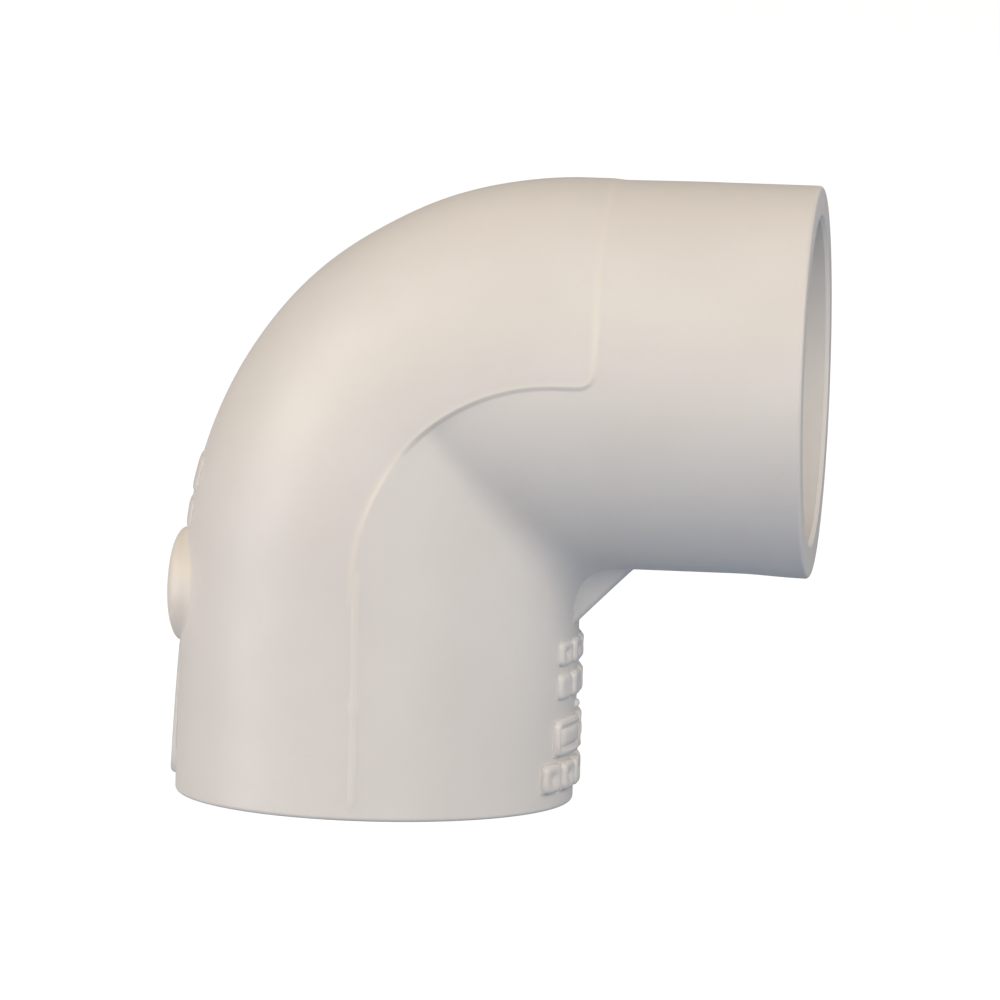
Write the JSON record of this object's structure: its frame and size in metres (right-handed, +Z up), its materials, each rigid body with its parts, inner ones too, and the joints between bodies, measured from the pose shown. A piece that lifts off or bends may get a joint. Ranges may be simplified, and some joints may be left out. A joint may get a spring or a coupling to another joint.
{
  "type": "pipe elbow fitting",
  "caption": "Off-white PVC right-angle elbow for pressure pipe, with a plain solvent-cement socket at each end, a round heel, a webbed throat and blank raised marks.",
  "frame": {"origin": "centre of the bottom socket's mouth, on the plane of its rim", "axes": "+Z up along the bottom socket's axis, +X along the side socket's axis towards its mouth, +Y across the plane of symmetry"},
  "size_m": [0.0671, 0.0422, 0.0654],
  "materials": {
    "pvc": "ivory rigid PVC, satin as moulded"
  },
  "bodies": {
    "root": {"bottom_socket": "pvc", "side_socket": "pvc", "heel_half": "pvc", "throat_half": "pvc", "heel_band": "pvc", "throat_web": "pvc", "gate_pad": "pvc", "gate_stub": "pvc", "throat_marks": "pvc", "heel_marks": "pvc", "heel_plate": "pvc", "parting_ridge": "pvc"}
  },
  "joints": []
}
